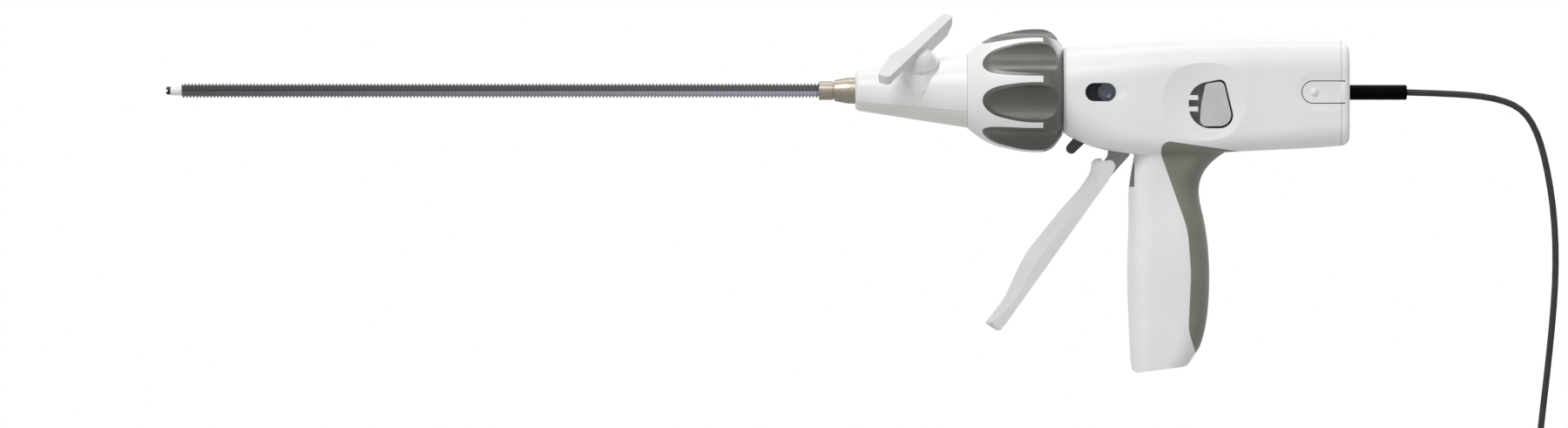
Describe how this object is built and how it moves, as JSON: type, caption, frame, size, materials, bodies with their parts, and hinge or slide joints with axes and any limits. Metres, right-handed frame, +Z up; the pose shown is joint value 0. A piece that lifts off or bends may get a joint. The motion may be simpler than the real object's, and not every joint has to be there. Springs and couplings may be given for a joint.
{
  "type": "surgical stapler",
  "caption": "Powered hand-held endoscopic stapler handle: ribbed shaft, articulation lever, rotation knob, closing and firing triggers, rear power pack on a cord.",
  "frame": {"origin": "middle of the grip, in the handle's plane of symmetry", "axes": "+X from the shaft's tip to the rear cord, +Z up from the grip to the barrel, +Y to the right side"},
  "size_m": [0.6581, 0.0643, 0.3184],
  "materials": {
    "white_shell": "fine satin",
    "nose_grey_white": "fine satin",
    "soft_grey": "soft matte",
    "ring_grey": "satin",
    "lever_grey": "satin",
    "trigger_pale": "satin",
    "trigger_arm_grey": "satin",
    "firing_black": "semi-gloss",
    "slider_grey": "satin",
    "slot_dark": "matte",
    "button_grey": "satin",
    "liner_grey": "satin",
    "well_grey": "matte",
    "satin_metal": "satin, warm",
    "shaft_grey": "satin, ribbed",
    "tip_pale": "satin",
    "tip_dark": "matte",
    "steel": "ground",
    "bearing_plastic": "smooth",
    "gearbox_metal": "turned",
    "motor_metal": "drawn",
    "rotor_iron": "laminated",
    "socket_black": "matte",
    "pack_grey": "matte",
    "contact_gold": "plated",
    "board_green": "solder mask",
    "screw_steel": "zinc plated",
    "boot_black": "satin",
    "cord_black": "matte jacket",
    "tie_white": "matte"
  },
  "bodies": {
    "handle": {"housing_left": "white_shell", "housing_right": "white_shell", "grip_backstrap": "soft_grey", "knob_bearing": "bearing_plastic", "knob_flange_ring": "ring_grey", "gearbox": "gearbox_metal", "motor_can": "motor_metal", "contact_socket": "socket_black", "control_board": "board_green", "trigger_microswitch": "socket_black", "closing_trigger_pin": "steel", "firing_trigger_pin": "steel", "release_well_left": "well_grey", "release_well_right": "well_grey", "slot_liner": "liner_grey", "housing_screws": "screw_steel"},
    "knob_group": {"knob_core": "white_shell", "knob_overmould": "soft_grey", "knob_clip": "steel", "nose_upper_shell": "white_shell", "nose_lower_shell": "nose_grey_white", "shaft_ferrule": "satin_metal", "flexible_shaft": "shaft_grey", "tip_coupling": "tip_pale"},
    "lever": {"articulation_lever": "lever_grey", "articulation_pinion": "steel"},
    "rack": {"articulation_rack": "steel"},
    "drive": {"drive_core": "steel", "tip_drive_dog": "tip_dark", "drive_coupling": "steel"},
    "rotor": {"motor_rotor": "rotor_iron"},
    "closing_trigger": {"closing_trigger_shell": "trigger_pale", "closing_trigger_arm": "trigger_arm_grey"},
    "yoke": {"closure_yoke": "steel"},
    "firing_trigger": {"firing_trigger": "firing_black"},
    "reverse_slider": {"reverse_switch": "slider_grey", "switch_carriage": "slot_dark"},
    "release_left": {"release_button_left": "button_grey"},
    "release_right": {"release_button_right": "button_grey"},
    "power_pack": {"pack_cap": "white_shell", "pack_case": "pack_grey", "pack_contacts": "contact_gold", "cord_boot": "boot_black", "cord": "cord_black", "cord_tail": "cord_black", "cord_coil": "cord_black", "coil_tie": "tie_white", "cord_plug": "boot_black"},
    "tab_left": {"release_tab_left": "white_shell"},
    "tab_right": {"release_tab_right": "white_shell"}
  },
  "joints": [
    {"name": "knob_spin", "type": "hinge", "parent": "handle", "child": "knob_group", "pos_m": [0, 0, 0.06], "axis": [1, 0, 0], "continuous": true},
    {"name": "articulation", "type": "hinge", "parent": "knob_group", "child": "lever", "pos_m": [-0.112, 0, 0.06], "axis": [0, -0.565, 0.8251], "range_deg": [-15.8, 74.2]},
    {"name": "rack_slide", "type": "slide", "parent": "knob_group", "child": "rack", "axis": [-1, 0, 0], "range_m": [-0.00133, 0.00622]},
    {"name": "drive_spin", "type": "hinge", "parent": "handle", "child": "drive", "pos_m": [0, 0, 0.06], "axis": [1, 0, 0], "continuous": true},
    {"name": "rotor_spin", "type": "hinge", "parent": "handle", "child": "rotor", "pos_m": [0, 0, 0.06], "axis": [1, 0, 0], "continuous": true},
    {"name": "closing_pull", "type": "hinge", "parent": "handle", "child": "closing_trigger", "pos_m": [-0.02, 0, 0.0375], "axis": [0, -1, 0], "range_deg": [0, 25], "stiffness_Nm_per_rad": 0.6, "springref_deg": -11.46},
    {"name": "yoke_slide", "type": "slide", "parent": "handle", "child": "yoke", "axis": [-1, 0, 0], "range_m": [0, 0.0046]},
    {"name": "firing_pull", "type": "hinge", "parent": "handle", "child": "firing_trigger", "pos_m": [-0.034, 0, 0.042], "axis": [0, -1, 0], "range_deg": [0, 20], "stiffness_Nm_per_rad": 0.04, "springref_deg": -11.46},
    {"name": "reverse_slide", "type": "slide", "parent": "handle", "child": "reverse_slider", "axis": [-1, 0, 0], "range_m": [0, 0.0056]},
    {"name": "release_left_press", "type": "slide", "parent": "handle", "child": "release_left", "axis": [0, 1, 0], "range_m": [0, 0.002], "stiffness_N_per_m": 400, "springref_m": -0.002},
    {"name": "release_right_press", "type": "slide", "parent": "handle", "child": "release_right", "axis": [0, -1, 0], "range_m": [0, 0.002], "stiffness_N_per_m": 400, "springref_m": -0.002},
    {"name": "pack_slide", "type": "slide", "parent": "handle", "child": "power_pack", "axis": [1, 0, 0], "range_m": [0, 0.045]},
    {"name": "tab_left_squeeze", "type": "hinge", "parent": "power_pack", "child": "tab_left", "pos_m": [0.0806, -0.0206, 0.0592], "axis": [0, 0, -1], "range_deg": [0, 4], "stiffness_Nm_per_rad": 1.5, "springref_deg": -1.72},
    {"name": "tab_right_squeeze", "type": "hinge", "parent": "power_pack", "child": "tab_right", "pos_m": [0.0806, 0.0206, 0.0592], "axis": [0, 0, 1], "range_deg": [0, 4], "stiffness_Nm_per_rad": 1.5, "springref_deg": -1.72}
  ],
  "couplings": [
    {"joint": "rack_slide", "follows": "articulation", "m_per_rad": 0.0048},
    {"joint": "drive_spin", "follows": "rotor_spin", "ratio": 0.0625},
    {"joint": "yoke_slide", "follows": "closing_pull", "m_per_rad": 0.0105}
  ]
}
